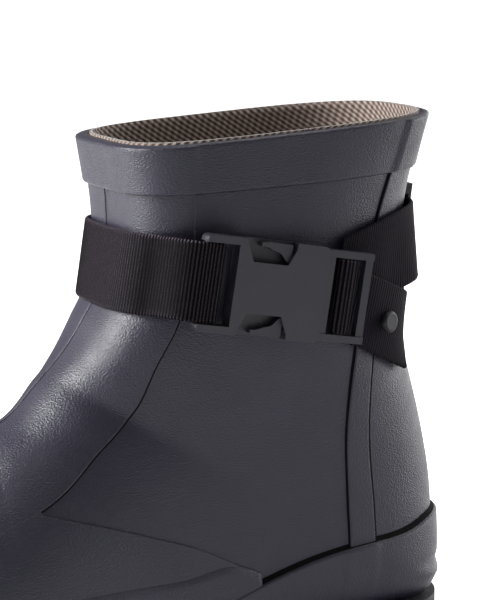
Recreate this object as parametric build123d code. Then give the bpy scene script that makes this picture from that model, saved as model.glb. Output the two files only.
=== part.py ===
"""Ankle-height rubber rain boot (left foot) with a webbing ankle strap and a side-release buckle.

Frame: +X to the toe, +Y to the outer side of the foot, +Z up, origin on the ground under the middle
of the boot's length and width. The boot is first drawn in its last's frame, with X measured from the
back of the collar, and every piece is shifted to the origin when it is written.

The boot's skin is one family of closed curves. Each lies in a plane that turns with the foot: upright
planes over the toes, planes that fan about an axis in front of the instep round the heel, and level
planes up the shaft. A station says which plane: 0 at the toe tip, 1 at the ball, 2 at the ankle and
3 at the collar. A layer is the space between two offsets of that skin.
"""

from build123d import *
import os
from math import asin, cos, degrees, hypot, pi, radians, sin

# ---------------------------------------------------------------- driving dimensions, mm
LAST_TIP = 258.0            # toe tip of the upper, from the back of the collar
FAN_X, FAN_Z = 172.0, 128.0  # fan axis in front of the instep
COLLAR_Z = 189.6            # collar height above the fan axis' foot
COLLAR_TILT = 0.067         # slope of the collar, rising to the back
HEEL_SEAT = 17.0            # underside of the upper at the heel
BALL_SEAT = 9.0             # underside of the upper at the ball
HEEL_END, ARCH_END = 50.0, 125.0    # the arch runs between these, from the heel's back
GROUND_TO_TIP = 205.0       # where the toe spring starts
TOE_SPRING = 7.0
ORIGIN_X, ORIGIN_Y = 126.9, 0.6     # the origin, in the last's frame

# each layer runs between two offsets of the skin
GAP = 0.05                  # between bonded layers
LINING = (-3.0, -1.75)
RUBBER = (-1.6, 0.0)
OVERLAY = (GAP, 0.9)
STRIP = (0.9 + GAP, 1.6)
COUNTER = (GAP, 2.2)
TOE_RAND = (0.9 + GAP, 2.0)
BAND = (1.6 + GAP, 2.7)
WEBBING = (1.7, 3.2)
TAB = (3.25, 4.75)
KEEPER = (3.4, 4.7)
KEEPER_HALF_Y, KEEPER_WALL = 9.0, 3.7
KEEPER_Z = (131.0, 173.0)
SOLE_PROUD = 3.6            # outsole beyond the upper
SOLE_EDGE_HEEL, SOLE_EDGE_BALL = 19.5, 17.0     # top edge of the outsole's wall
LUG = 4.0                   # tread depth of the forepart
HEEL_LUG = 3.0
LUG_INSET = 3.5             # tread inside the outsole's outline
HEEL_BREAST_Z = 6.0         # underside of the outsole over the heel lift
BOARD_Z, SHANK_Z, FOOTBED_Z = (4.3, 6.0), (3.1, 4.2), (6.1, 10.0)     # above the seat
SHANK_X, SHANK_HALF_Y = (38, 142), 7.0

RIVET_AT = (1.995, -41.0)   # station, and degrees round the section
RIVET_CAP_R, RIVET_CAP_H, RIVET_SHANK_R = 3.9, 1.8, 1.6
WASHER_R, WASHER_T = 4.2, 0.8

# buckle, in its own frame: u along it to the rear, v up, w out from the boot; w = 0 is its face
BUCKLE_AT = (81.0, 47.3, 144.0)
BUCKLE_DROP, BUCKLE_YAW = 8.9, 2.0  # degrees
HOUSING_L, HOUSING_H, HOUSING_T = 46.2, 33.8, 6.5
FACE_T = 1.3                # the housing's front and back plates
WALL_T = 3.5                # its side walls
SLOT_U = (-17.0, -11.1)     # webbing slot
SLOT_H = 28.6
NOTCH_MOUTH, NOTCH_FLOOR = (-8.5, 10.5), (-5.3, 7.8)
NOTCH_V = 9.0
HOUSING_BAR_U, HOUSING_BAR_W = (-22.0, -17.0), (-5.2, -2.4)
PLUG_L, PLUG_H = 17.2, 32.2
PLUG_W = (-5.4, -0.9)
PLUG_RAIL = 2.5
PLUG_BAR_U, PLUG_BAR_W = (29.6, 33.8), (-4.7, -2.3)
ROLL_T = 1.4                # webbing turned round a bar
HOUSING_ROLL_HALF, PLUG_ROLL_HALF = 14.0, 13.2
TONGUE_TIP_U, TONGUE_HALF_V = 2.0, 2.6
RUNNING_GAP = 0.3
ARM_PIVOT = (22.0, 9.5)
ARM_HALF = 1.3              # half of the arm's thickness at its root


# ---------------------------------------------------------------- the boot's skin
def curve(points):
    """A natural cubic spline through the points, held at its end values outside them."""
    xs = [p[0] for p in points]
    ys = [p[1] for p in points]
    last = len(xs) - 1
    step = [xs[i + 1] - xs[i] for i in range(last)]
    # forward sweep of the tridiagonal system for the second derivatives
    ratio, value = [0.0], [0.0]
    for i in range(1, last):
        pull = 6 * ((ys[i + 1] - ys[i]) / step[i] - (ys[i] - ys[i - 1]) / step[i - 1])
        pivot = 2 * (step[i - 1] + step[i]) - step[i - 1] * ratio[-1]
        ratio.append(step[i] / pivot)
        value.append((pull - step[i - 1] * value[-1]) / pivot)
    bend = [0.0] * (last + 1)
    for i in range(last - 1, 0, -1):
        bend[i] = value[i] - ratio[i] * bend[i + 1]

    def at(x):
        x = min(max(x, xs[0]), xs[-1])
        i = max(k for k in range(last) if xs[k] <= x)
        d, h = x - xs[i], step[i]
        slope = (ys[i + 1] - ys[i]) / h - h * (2 * bend[i] + bend[i + 1]) / 6
        return ys[i] + d * slope + d * d * bend[i] / 2 + d**3 * (bend[i + 1] - bend[i]) / (6 * h)

    return at


# station -> distance from the fan axis to the near side: toe top, instep and shaft front
near = curve([(0, 98), (.1, 90), (.3, 76), (.5, 67), (.7, 58.5), (.85, 51), (1, 42), (1.25, 36),
              (1.5, 33.5), (1.75, 36), (2, 43), (2.2, 50.3), (2.4, 52.7), (2.8, 51.6), (3, 49.8)])
# station -> x of the boot's back
back = curve([(1.4, 2), (1.5, 0), (1.62, -3), (1.74, -4), (1.85, 1), (1.95, 8), (2.2, 9.4),
              (2.4, 8.7), (2.6, 7.2), (2.8, 4.8), (3, 1.8)])
# station -> half of the width, and the middle's sideways place
half = curve([(0, 0), (.1, 12.2), (.2, 22.7), (.3, 30.8), (.4, 36.8), (.5, 41), (.6, 44),
              (.75, 46.6), (.9, 47.2), (1, 46.8), (1.2, 42.5), (1.4, 37.5), (1.6, 36), (1.8, 36.8),
              (2, 38), (2.4, 38.8), (2.7, 39.5), (3, 40.7)])
middle = curve([(0, -9), (.3, -6), (.6, -2), (1, 1.5), (1.3, 3), (1.6, .5), (2, 0), (3, 0)])
# station -> how far the widest place is from the far side
wide_from_far = curve([(0, 8), (.1, 13), (.3, 18), (1, 20), (1.25, 30), (1.5, 58), (1.6, 78),
                       (1.75, 86), (2, 64), (2.5, 57), (3, 60)])
# station -> squareness of the far and near halves, 2 being an ellipse
square_far = curve([(0, 2.3), (.3, 4), (1, 5), (1.3, 5), (1.5, 4), (1.62, 3.3), (1.75, 3), (2, 2.5),
                    (3, 2.95)])
square_near = curve([(0, 2.2), (.5, 2.2), (1, 2.2), (1.5, 2.5), (2, 3), (2.5, 3.5), (3, 3.9)])
HEEL_EDGE = 24.0            # sharpness of the turn from heel back to underside


def seat_height(x):
    """Underside of the upper at x: heel, arch, ball and toe spring."""
    along = min(max((x - HEEL_END) / (ARCH_END - HEEL_END), 0), 1)
    arch = (1 + cos(pi * along)) / 2
    spring = max(x - GROUND_TO_TIP, 0) / (LAST_TIP - GROUND_TO_TIP)
    return BALL_SEAT + (HEEL_SEAT - BALL_SEAT) * arch + TOE_SPRING * spring**2


def far(station):
    """Distance from the fan axis to the sole, the heel or the back of the shaft."""
    if station >= 2:
        return FAN_X - back(station)
    if station <= 1:
        x = section_plane(station, 0)[0][0]
        nose = 0.5 + 0.5 * cos(pi * min(station / 0.25, 1))
        return FAN_Z - seat_height(x) - 11 * nose
    turn = (station - 1) * pi / 2
    reach = FAN_Z - BALL_SEAT
    for _ in range(6):
        reach = (FAN_Z - seat_height(FAN_X - reach * sin(turn))) / max(cos(turn), 1e-6)
        reach = min(reach, 400)
    behind = (FAN_X - back(station)) / max(sin(turn), 1e-6)
    return (reach**-HEEL_EDGE + behind**-HEEL_EDGE) ** (-1 / HEEL_EDGE)


def section_plane(station, offset):
    """Where the plane's near-to-far line starts, and its direction, both as (x, z)."""
    if station < 1:
        reach = LAST_TIP + offset - FAN_X
        return (FAN_X + reach * cos(station * pi / 2), FAN_Z), (0, -1)
    if station < 2:
        turn = (station - 1) * pi / 2
        return (FAN_X, FAN_Z), (-sin(turn), -cos(turn))
    rise = (station - 2) * COLLAR_TILT
    size = hypot(1, rise)
    return (FAN_X, FAN_Z + (station - 2) * (COLLAR_Z - FAN_Z)), (-1 / size, rise / size)


def skin_point(station, angle, offset):
    """A point of the skin: angle 0 is the outer side, 90 the near side and 270 the far side."""
    start, way = section_plane(station, offset)
    grow = offset * (sin(min(station, .3) / .3 * pi / 2))
    c, s = cos(angle), sin(angle)
    power = square_near(station) if s >= 0 else square_far(station)
    round_off = (abs(c) ** power + abs(s) ** power) ** (-1 / power)
    widest = far(station) - wide_from_far(station)
    depth = widest - near(station) + grow if s >= 0 else wide_from_far(station) + grow
    along = widest - depth * s * round_off
    side = middle(station) + (half(station) + grow) * c * round_off
    return Vector(start[0] + way[0] * along, side, start[1] + way[1] * along)


STATIONS = [.05, .11, .18, .27, .38, .52, .68, .85, 1, 1.15, 1.3, 1.42, 1.53, 1.62, 1.7, 1.77, 1.84,
            1.91, 2, 2.15, 2.35, 2.55, 2.75, 2.9, 3]
PAST_COLLAR = 3.1
AROUND = 6                  # steps on each quarter of a section


def section(station, offset):
    """A closed curve in four arcs that meet at its outer, near, inner and far points."""
    way = section_plane(station, offset)[1]
    farward = Vector(way[0], 0, way[1])
    outward = Vector(0, 1, 0)
    arcs = []
    for turn, start, end in ((0, -farward, -outward), (90, -outward, farward),
                             (180, farward, outward), (270, outward, -farward)):
        angles = [radians(turn + 90 * k / AROUND) for k in range(AROUND + 1)]
        points = [skin_point(station, a, offset) for a in angles]
        steps = [k / AROUND for k in range(AROUND + 1)]
        arcs.append(Edge.make_spline(points, tangents=[start, end], parameters=steps))
    return Wire(arcs)


def last_form(offset, past_collar):
    """The whole boot's shape as a solid, out to an offset of its skin."""
    stations = STATIONS + [PAST_COLLAR] * past_collar
    return Solid.make_loft([section(s, offset) for s in stations])


# ---------------------------------------------------------------- cutting tools
FULL_SIDE = (-90, 90)


def side_prism(edge, corners, sides=FULL_SIDE):
    """A region drawn from the side: a smooth edge, closed through corners, both as (x, z)."""
    low, high = sides
    curved = [Vector(x, low, z) for x, z in edge]
    straight = [curved[-1]] + [Vector(x, low, z) for x, z in corners] + [curved[0]]
    lines = [Edge.make_line(a, b) for a, b in zip(straight, straight[1:])]
    first = Edge.make_spline(curved) if len(curved) > 2 else Edge.make_line(*curved)
    return extrude(Face(Wire([first] + lines)), amount=high - low, dir=(0, 1, 0))


def box(low, high):
    size = [b - a for a, b in zip(low, high)]
    centre = [(a + b) / 2 for a, b in zip(low, high)]
    return Pos(*centre) * Box(*size)


FORMS = {}


def form(offset, past_collar=False):
    """A form that ends at the collar, or runs past it to cut a cavity open at the top."""
    key = (offset, past_collar)
    if key not in FORMS:
        FORMS[key] = last_form(offset, past_collar)
    return FORMS[key]


def layer(offsets, *regions):
    """The space between two offsets of the skin, within the regions."""
    inner, outer = offsets
    piece = form(outer)
    for region in regions:
        piece = piece & region
    return piece - form(inner, past_collar=True)


def side_band(first, second, sides=FULL_SIDE):
    """The region between two smooth edges that run the same way, drawn from the side."""
    low, high = sides
    edges = [Edge.make_spline([Vector(x, low, z) for x, z in line]) for line in (first, second)]
    ends = [Edge.make_line(Vector(a[0], low, a[1]), Vector(b[0], low, b[1]))
            for a, b in zip((first[0], first[-1]), (second[0], second[-1]))]
    return extrude(Face(Wire([edges[0], ends[1], edges[1], ends[0]])), amount=high - low, dir=(0, 1, 0))


def seat_band(start, end, low, high, sides=FULL_SIDE):
    """A strip that follows the seat, between two heights above it."""
    steps = [start + (end - start) * k / 14 for k in range(15)]
    lines = [[(x, seat_height(x) + rise) for x in steps] for rise in (low, high)]
    return side_band(lines[0], lines[1], sides)


# ---------------------------------------------------------------- edges of the rubber pieces, (x, z)
FRONT_EDGE = [(101.5, 210), (101.9, 173), (102.5, 155), (108.1, 130.6), (115.2, 116.7),
              (119.1, 107.1), (123.5, 99.3), (137.1, 87.2), (152, 75.1), (175, 65), (205, 55.5),
              (235, 46.5), (264, 41.5)]
COUNTER_EDGE = [(-20, 56), (4, 52.1), (14.2, 49.4), (31.2, 47.7), (43.7, 46.3), (61.6, 42.4),
                (76.1, 38), (87, 34.5), (105, 29), (125, 23.5), (142, 18.6)]
VAMP_EDGE = [(75.9, 38.3), (86.6, 43.9), (101.4, 51.6), (117.2, 57.3), (129.8, 61.5), (160, 70.2)]
RAND_EDGE = [(88.6, 45.2), (104.7, 42.6), (123.7, 41.8), (160, 41.5), (200, 41.5), (240, 41), (275, 40.5)]
RIB_FRONT = [(20, 205), (26.2, 182.2), (31.6, 164.2), (40.6, 115.6), (44.1, 88), (43.6, 70), (42.5, 47.2)]
RIB_BACK = [(9.5, 205), (15.5, 182.2), (20.8, 165.3), (31.3, 111.3), (33.3, 87), (31.4, 61.8), (30.5, 48.4)]
BAND_STATION = 2.735
CENTRE_STRIP_Y = (-30.0, -0.5)
CENTRE_STRIP_UNDER = [(104, 204), (106, 140), (116, 112), (134, 92), (168, 72), (215, 56), (264, 42.5)]


def band_edge(x):
    """Height of the collar band's lower edge."""
    level = FAN_Z + (BAND_STATION - 2) * (COLLAR_Z - FAN_Z)
    return level + (FAN_X - x) * COLLAR_TILT * (BAND_STATION - 2)


def sole_edge(x):
    """Height of the outsole wall's top edge."""
    along = min(max((x - HEEL_END) / (ARCH_END - HEEL_END), 0), 1)
    arch = (1 + cos(pi * along)) / 2
    return SOLE_EDGE_BALL + (SOLE_EDGE_HEEL - SOLE_EDGE_BALL) * arch + toe_spring(x)


def toe_spring(x):
    return TOE_SPRING * (max(x - GROUND_TO_TIP, 0) / (LAST_TIP - GROUND_TO_TIP)) ** 2


SOLE_STEPS = [-20, 10, 40, 70, 100, 130, 160, 190, 215, 235, 250, 275]


def sole_edge_line(shift):
    return [(x, sole_edge(x) + shift) for x in SOLE_STEPS]


# ---------------------------------------------------------------- upper and linings
def rivet_frame():
    """The rivet's axis: out of the skin, through its point."""
    station, turn = RIVET_AT[0], radians(RIVET_AT[1])
    here = skin_point(station, turn, 0)
    round_way = skin_point(station, turn + .01, 0) - here
    up_way = skin_point(station + .01, turn, 0) - here
    out = up_way.cross(round_way).normalized()
    if out.Y < 0:
        out = -out
    return Plane(origin=here, z_dir=out)


def rivet_hole(radius):
    return rivet_frame() * Cylinder(radius, 30)


def outer_upper():
    return layer(RUBBER) - rivet_hole(RIVET_SHANK_R + .05)


def textile_lining():
    return layer(LINING) - rivet_hole(RIVET_SHANK_R + .05)


def front_region(drop):
    """Everything in front of the front overlay's edge, with the edge lowered a little."""
    edge = [(x, z - drop) for x, z in FRONT_EDGE]
    return side_prism(edge, [(290, 41 - drop), (290, 230), (101.5, 230)])


def front_overlay():
    return layer(OVERLAY, front_region(0))


def front_centre_strip():
    low, high = CENTRE_STRIP_Y
    whole = layer(STRIP, box((100, low, 30), (290, high, 230)))
    return whole & side_prism(CENTRE_STRIP_UNDER, [(290, 42), (290, 230), (104, 230)])


def back_rib(sides):
    rib = layer(OVERLAY, side_band(RIB_FRONT, RIB_BACK, sides))
    return rib - rivet_hole(RIVET_SHANK_R + .05)


def collar_band():
    edge = [(-40, band_edge(-40)), (180, band_edge(180))]
    return layer(BAND, side_prism(edge, [(180, 230), (-40, 230)]))


def counter_region(lift):
    """Everything under the heel counter's edge, behind the ball, down to the outsole's edge."""
    edge = [(x, z + lift) for x, z in COUNTER_EDGE]
    return side_prism(edge, [(142, -9), (-20, -9)])


def above_sole(lift):
    return side_prism(sole_edge_line(lift), [(275, 120), (-20, 120)])


def vamp_overlay():
    """Covers the forefoot in front of a rising edge, under the front overlay's lower edge."""
    region = side_prism(VAMP_EDGE, [(185, 75), (290, 75), (290, 5), (75.9, 5)])
    return layer(OVERLAY, region - front_region(.15) - counter_region(.15), above_sole(.4))


def toe_rand():
    region = side_prism(RAND_EDGE, [(275, 5), (75.9, 5), (76.8, 38.9)])
    return layer(TOE_RAND, region - counter_region(.15), above_sole(.4))


def heel_counter():
    return layer(COUNTER, counter_region(0), above_sole(.2))


# ---------------------------------------------------------------- bottom
def half_width(x, z, offset):
    """The skin's half width at (x, z), and the middle's sideways place there."""
    if x > FAN_X:
        reach = LAST_TIP + offset - FAN_X
        station = 1 - asin(min((x - FAN_X) / reach, 1)) * 2 / pi
        along = FAN_Z - z
    else:
        station = 1 + degrees(asin((FAN_X - x) / hypot(FAN_X - x, FAN_Z - z))) / 90
        along = hypot(FAN_X - x, FAN_Z - z)
    widest = far(station) - wide_from_far(station)
    power = square_far(station)
    share = min(max((along - widest) / (wide_from_far(station) + offset), 0), 1)
    grow = offset * sin(min(station, .3) / .3 * pi / 2)
    return (half(station) + grow) * (1 - share**power) ** (1 / power), middle(station)


def plan_outline(offset, height, steps=13):
    """The boot's outline seen from below, at a height, grown by an offset."""
    start, end = back(1.7) - offset, LAST_TIP + offset
    inner, outer = [], []
    for k in range(1, steps):
        x = start + (end - start) * (1 - cos(pi * k / steps)) / 2
        wide, centre = half_width(x, height, offset)
        outer.append(Vector(x, centre + wide, 0))
        inner.append(Vector(x, centre - wide, 0))
    heel = Vector(start, half_width(start + 3, height, offset)[1], 0)
    toe = Vector(end, half_width(end - 3, height, offset)[1], 0)
    points = [heel] + outer + [toe] + list(reversed(inner))
    return Face(Wire([Edge.make_spline(points, periodic=True)]))


def outsole():
    """A cup with a wall round the upper's foot, a heel seat, an arch and a thin forepart."""
    bottom = [(-30, HEEL_BREAST_Z), (68, HEEL_BREAST_Z), (71, 9), (98, 8), (106, LUG)]
    bottom += [(x, LUG + toe_spring(x)) for x in (205, 220, 235, 250, 275)]
    top = list(reversed(sole_edge_line(0)))
    profile = side_prism([(-30, sole_edge(-30)), bottom[0]], bottom[1:] + top)
    blank = extrude(plan_outline(SOLE_PROUD, 24), amount=60, dir=(0, 0, 1))
    return (blank & profile) - form(COUNTER[1] + .05)


def bottom_wrap():
    """Rubber gum sheet that wraps the upper's underside, inside the cup."""
    top = list(reversed(sole_edge_line(-.05)))
    region = side_prism([(-30, sole_edge(-30) - .05), (-30, -5)], [(275, -5)] + top)
    return layer(COUNTER, region)


def heel_lift():
    thick = HEEL_BREAST_Z - GAP - HEEL_LUG
    blank = extrude(plan_outline(SOLE_PROUD - 1, 24), amount=thick, dir=(0, 0, 1))
    return Pos(0, 0, HEEL_LUG) * blank & box((-30, -60, 0), (66, 60, 20))


def tread(start, end, pitch, bar, top):
    """Cross bars split by a channel along the middle, following the toe spring."""
    blank = extrude(plan_outline(SOLE_PROUD - LUG_INSET, 24), amount=30, dir=(0, 0, 1))
    steps = [start + (end - start) * k / 12 for k in range(13)]
    lines = [[(x, rise + toe_spring(x)) for x in steps] for rise in (0, top - .05)]
    block = blank & side_band(lines[0], lines[1])
    bars = []
    x = start
    while x + bar <= end:
        for low, high in ((-60, -3 + middle(1)), (3 + middle(1), 60)):
            bars += (block & box((x, low, -1), (x + bar, high, 30))).solids()
        x += pitch
    return Compound(children=bars)


def insole_board():
    return form(LINING[0] - GAP) & seat_band(-20, 262, *BOARD_Z)


def shank():
    return seat_band(*SHANK_X, *SHANK_Z, (-SHANK_HALF_Y, SHANK_HALF_Y))


def footbed():
    return form(LINING[0] - .3) & seat_band(-20, 262, *FOOTBED_Z)


# ---------------------------------------------------------------- strap
def ankle_strap():
    """From the housing round the front, the inner side and the back, as far as the keeper."""
    outer = side_prism([(106.6, 161.8), (140, 164.5)], [(140, 136), (104.6, 132.6)], (0, 90))
    inner = side_band([(-20, 168), (20, 165), (60, 162), (100, 162), (140, 164.5)],
                      [(-20, 139.5), (20, 137), (60, 134), (100, 134), (140, 136)], (-90, 0))
    return layer(WEBBING, outer) + layer(WEBBING, inner)


def strap_rear():
    region = side_band([(-20, 170), (10, 168), (31.8, 163.9), (50, 158.2)],
                       [(-20, 141.5), (10, 139.5), (28, 135), (43, 129.5)], (.1, 90))
    return layer(WEBBING, region)


def anchor_tab():
    outline = [(9.5, 131.8), (37.5, 145.1), (41, 119), (15.5, 106.7)]
    region = side_prism(outline[:2], outline[2:], (0, 90))
    return layer(TAB, region) - rivet_hole(RIVET_SHANK_R + .05)


def keeper_loop():
    half_y, (low, high) = KEEPER_HALF_Y, KEEPER_Z
    body = layer((GAP, KEEPER[1]), box((-30, -half_y, low), (30, half_y, high)))
    window = box((-30, -20, low + KEEPER_WALL), (30, 20, high - KEEPER_WALL))
    return body - (form(KEEPER[0]) & window)


def along_rivet(offset):
    """Distance from the skin to one of its offsets, along the rivet."""
    point = skin_point(RIVET_AT[0], radians(RIVET_AT[1]), offset)
    return (point - rivet_frame().origin).dot(rivet_frame().z_dir)


def rivet():
    """Domed cap outside the tab and a shank through tab, rubber and lining."""
    seat = along_rivet(TAB[1]) + .5
    cap = Pos(0, 0, seat + RIVET_CAP_H / 2) * Cylinder(RIVET_CAP_R, RIVET_CAP_H)
    cap = fillet(cap.edges().sort_by(Axis.Z)[-1], RIVET_CAP_H * .6)
    tail = along_rivet(LINING[0]) - 2.6
    shank_part = Pos(0, 0, (seat + .1 + tail) / 2) * Cylinder(RIVET_SHANK_R, seat + .1 - tail)
    return rivet_frame() * (cap + shank_part)


def rivet_washer():
    ring = Cylinder(WASHER_R, WASHER_T) - Cylinder(RIVET_SHANK_R + .05, 2)
    return rivet_frame() * Pos(0, 0, along_rivet(LINING[0]) - 1.7) * ring


# ---------------------------------------------------------------- buckle
# between the housing's plates, with room to run
MOVING_W = (FACE_T - HOUSING_T + RUNNING_GAP, -FACE_T - RUNNING_GAP)


def buckle_frame():
    drop, yaw = radians(BUCKLE_DROP), radians(BUCKLE_YAW)
    rearward = Vector(-cos(drop) * cos(yaw), sin(yaw), -sin(drop) * cos(yaw))
    outward = Vector(sin(yaw), cos(yaw), 0)
    return Plane(origin=BUCKLE_AT, x_dir=rearward, z_dir=outward)


def bar(u, v, w):
    return box((u[0], v[0], w[0]), (u[1], v[1], w[1]))


def notch(sign):
    """The thumb window in one edge of the housing, in front of its back plate."""
    edge = HOUSING_H / 2 + 1
    points = [(NOTCH_MOUTH[0], edge), (NOTCH_MOUTH[0], HOUSING_H / 2 - 1), (NOTCH_FLOOR[0], NOTCH_V),
              (NOTCH_FLOOR[1], NOTCH_V), (NOTCH_MOUTH[1], HOUSING_H / 2 - 2), (NOTCH_MOUTH[1], edge)]
    wire = Wire.make_polygon([Vector(u, sign * v, FACE_T - HOUSING_T) for u, v in points], close=True)
    return extrude(Face(wire), amount=20, dir=(0, 0, 1))


def buckle_housing():
    half_l, half_h = HOUSING_L / 2, HOUSING_H / 2
    blank = bar((-half_l, half_l), (-half_h, half_h), (-HOUSING_T, 0))
    blank = fillet(blank.edges().filter_by(Axis.Z), 2)
    cavity = bar((-5, half_l + 1), (WALL_T - half_h, half_h - WALL_T), (FACE_T - HOUSING_T, -FACE_T))
    span = (-SLOT_H / 2, SLOT_H / 2)
    slot = bar(SLOT_U, span, (-20, 20))
    over_bar = bar((-half_l - 1, SLOT_U[0]), span, (HOUSING_BAR_W[1], 1))
    under_bar = bar((-half_l - 1, SLOT_U[0]), span, (-20, HOUSING_BAR_W[0]))
    before_bar = bar((-half_l - 1, HOUSING_BAR_U[0]), span, (-20, 20))
    body = blank - cavity - slot - over_bar - under_bar - before_bar - notch(1) - notch(-1)
    return buckle_frame() * body


def webbing_roll(bar_u, bar_w, half_v):
    """One turn of webbing round a bar."""
    clear = GAP + .01
    out = clear + ROLL_T
    outer = bar((bar_u[0] - out, bar_u[1] + out), (-half_v, half_v), (bar_w[0] - out, bar_w[1] + out))
    outer = fillet(outer.edges().filter_by(Axis.Y), ROLL_T + .5)
    inner = bar((bar_u[0] - clear, bar_u[1] + clear), (-half_v - 1, half_v + 1),
                (bar_w[0] - clear, bar_w[1] + clear))
    return buckle_frame() * (outer - inner)


def housing_webbing():
    return webbing_roll(HOUSING_BAR_U, HOUSING_BAR_W, HOUSING_ROLL_HALF)


def plug_webbing():
    return webbing_roll(PLUG_BAR_U, PLUG_BAR_W, PLUG_ROLL_HALF)


def buckle_plug():
    """The frame that the rear webbing turns round, with a guide tongue that enters the housing."""
    start = HOUSING_L / 2 + RUNNING_GAP
    end = start + PLUG_L
    side = PLUG_H / 2
    low, high = PLUG_W
    cross = bar((start, start + 2.6), (-side, side), (low + .4, high - .4))
    upper_rail = bar((start, end), (side - PLUG_RAIL, side), PLUG_W)
    lower_rail = bar((start, end), (-side, PLUG_RAIL - side), PLUG_W)
    rear = bar((end - 2.8, end), (-side, side), (low + .6, high - .6))
    centre = bar(PLUG_BAR_U, (-side + 1, side - 1), PLUG_BAR_W)
    tongue = bar((TONGUE_TIP_U, start + 1), (-TONGUE_HALF_V, TONGUE_HALF_V), MOVING_W)
    return buckle_frame() * (cross + upper_rail + lower_rail + rear + centre + tongue)


# the arm from its root to the pad's tip, along its inner side, and back along its outer side
ARM_INNER = [(9.2, 9.3), (7, 10.7), (5.2, 12.6), (2.6, 13.4), (.3, 14.3), (-2.4, 14.6)]
ARM_OUTER = [(-2.5, 15.9), (1, 16.3), (9.3, 16.1), (9.2, 12.6)]


def latch_arm(sign):
    """Flexible arm with a finger pad and a shoulder that catches behind the thumb window."""
    root_u, root_v = ARM_PIVOT
    inner = [Vector(u, sign * v, 0) for u, v in ARM_INNER]
    outer = [Vector(u, sign * v, 0) for u, v in ARM_OUTER]
    root_sides = [Vector(root_u, sign * (root_v + side), 0) for side in (ARM_HALF, -ARM_HALF)]
    corners = [inner[-1]] + outer + root_sides + [inner[0]]
    edges = [Edge.make_spline(inner)] + [Edge.make_line(a, b) for a, b in zip(corners, corners[1:])]
    low, high = MOVING_W
    arm = Pos(0, 0, low) * extrude(Face(Wire(edges)), amount=high - low, dir=(0, 0, 1))
    root = Pos(root_u, sign * root_v, (low + high) / 2) * Cylinder(ARM_HALF, high - low)
    return buckle_frame() * (arm + root)


# ---------------------------------------------------------------- the assembly
NODES = {
    "outer_upper": outer_upper,
    "textile_lining": textile_lining,
    "collar_band": collar_band,
    "front_overlay": front_overlay,
    "front_centre_strip": front_centre_strip,
    "back_rib_lateral": lambda: back_rib((0, 90)),
    "back_rib_medial": lambda: back_rib((-90, 0)),
    "vamp_overlay": vamp_overlay,
    "toe_rand": toe_rand,
    "heel_counter": heel_counter,
    "bottom_wrap": bottom_wrap,
    "outsole": outsole,
    "heel_lift": heel_lift,
    "heel_lugs": lambda: tread(-4, 64, 13, 8, HEEL_LUG),
    "forepart_lugs": lambda: tread(108, 256, 12, 7.5, LUG),
    "insole_board": insole_board,
    "shank": shank,
    "footbed": footbed,
    "ankle_strap": ankle_strap,
    "strap_rear": strap_rear,
    "anchor_tab": anchor_tab,
    "keeper_loop": keeper_loop,
    "rivet": rivet,
    "rivet_washer": rivet_washer,
    "buckle_housing": buckle_housing,
    "housing_webbing": housing_webbing,
    "buckle_plug": buckle_plug,
    "plug_webbing": plug_webbing,
    "latch_arm_upper": lambda: latch_arm(1),
    "latch_arm_lower": lambda: latch_arm(-1),
}

os.makedirs("parts", exist_ok=True)
for name, make in NODES.items():
    piece = make()
    export_step(piece.moved(Location((-ORIGIN_X, -ORIGIN_Y, 0))), f"parts/{name}.step")
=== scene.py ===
import bmesh
import bpy
from math import cos, pi, radians, sin
import numpy as np
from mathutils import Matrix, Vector


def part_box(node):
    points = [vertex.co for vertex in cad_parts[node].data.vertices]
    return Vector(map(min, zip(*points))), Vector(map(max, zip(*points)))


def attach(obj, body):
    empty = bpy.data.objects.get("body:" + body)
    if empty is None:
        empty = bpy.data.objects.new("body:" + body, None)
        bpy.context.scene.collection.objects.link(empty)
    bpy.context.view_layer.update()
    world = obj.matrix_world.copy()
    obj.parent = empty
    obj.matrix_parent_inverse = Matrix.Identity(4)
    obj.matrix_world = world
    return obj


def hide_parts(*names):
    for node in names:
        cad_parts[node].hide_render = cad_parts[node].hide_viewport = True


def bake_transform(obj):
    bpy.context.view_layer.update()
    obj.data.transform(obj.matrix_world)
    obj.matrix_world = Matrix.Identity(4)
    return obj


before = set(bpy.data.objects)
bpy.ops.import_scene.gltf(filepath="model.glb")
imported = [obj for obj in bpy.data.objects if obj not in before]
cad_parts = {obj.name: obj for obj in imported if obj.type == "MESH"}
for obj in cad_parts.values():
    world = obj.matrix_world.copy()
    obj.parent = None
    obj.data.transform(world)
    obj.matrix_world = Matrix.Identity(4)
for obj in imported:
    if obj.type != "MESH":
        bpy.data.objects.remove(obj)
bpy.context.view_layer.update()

# The boot is drawn in its last's frame, in millimetres: X from the back of the collar to the toe,
# Y to the outer side, Z up. Every mesh is shifted to the row frame and scaled to metres when made.

# ---------------------------------------------------------------- driving dimensions, mm
LAST_TIP = 258.0
FAN_X, FAN_Z = 172.0, 128.0
COLLAR_Z = 189.6
COLLAR_TILT = 0.067
HEEL_SEAT, BALL_SEAT = 17.0, 9.0
HEEL_WALL, BALL_WALL = 19.5, 17.0
HEEL_END, ARCH_END = 50.0, 125.0
GROUND_TO_TIP = 205.0
TOE_SPRING = 7.0
TOE_TIP_RISE = 11.0         # how far the skin turns up at the toe tip
HEEL_EDGE = 24.0
MM = 0.001
CENTRE_Y = 0.6
ORIGIN = np.array((LAST_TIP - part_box("outer_upper")[1].x / MM, CENTRE_Y, 0.0))

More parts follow.
